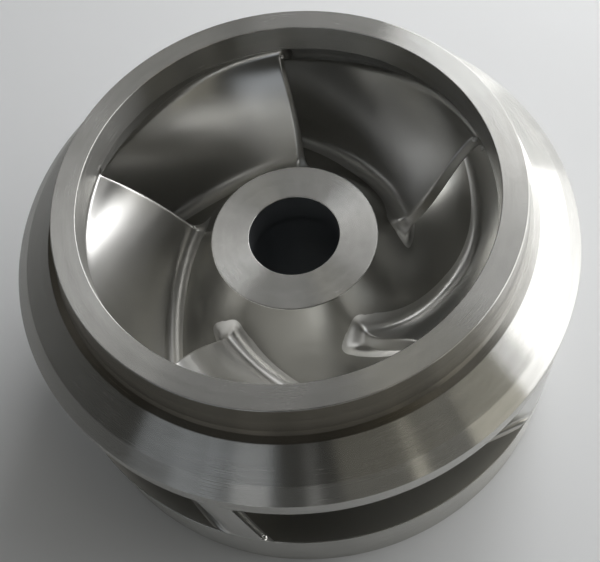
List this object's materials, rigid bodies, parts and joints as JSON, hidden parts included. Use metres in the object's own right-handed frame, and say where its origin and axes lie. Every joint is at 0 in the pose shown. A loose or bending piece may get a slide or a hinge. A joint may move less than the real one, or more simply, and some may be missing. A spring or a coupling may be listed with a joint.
{
  "type": "centrifugal pump impeller",
  "caption": "Closed mixed-flow pump impeller with a suction eye ring, a front shroud, a bored hub on a back plate and curved vanes between them.",
  "frame": {"origin": "middle of the underside of the back plate's land, on the shaft axis", "axes": "+Z along the shaft axis towards the suction eye, which faces up; -Y is towards the camera of the picture"},
  "size_m": [0.364, 0.364, 0.189],
  "materials": {
    "turned_steel": "turned on a lathe, bright, with fine rings",
    "ground_steel": "cast, then ground and polished by hand"
  },
  "bodies": {
    "root": {"eye_wear_ring": "turned_steel", "front_shroud": "turned_steel", "hub_nose": "turned_steel", "hub_core": "turned_steel", "hub_plate": "ground_steel", "rear_rim": "turned_steel", "vane_1": "ground_steel", "vane_2": "ground_steel", "vane_3": "ground_steel", "vane_4": "ground_steel", "vane_5": "ground_steel"}
  },
  "joints": []
}
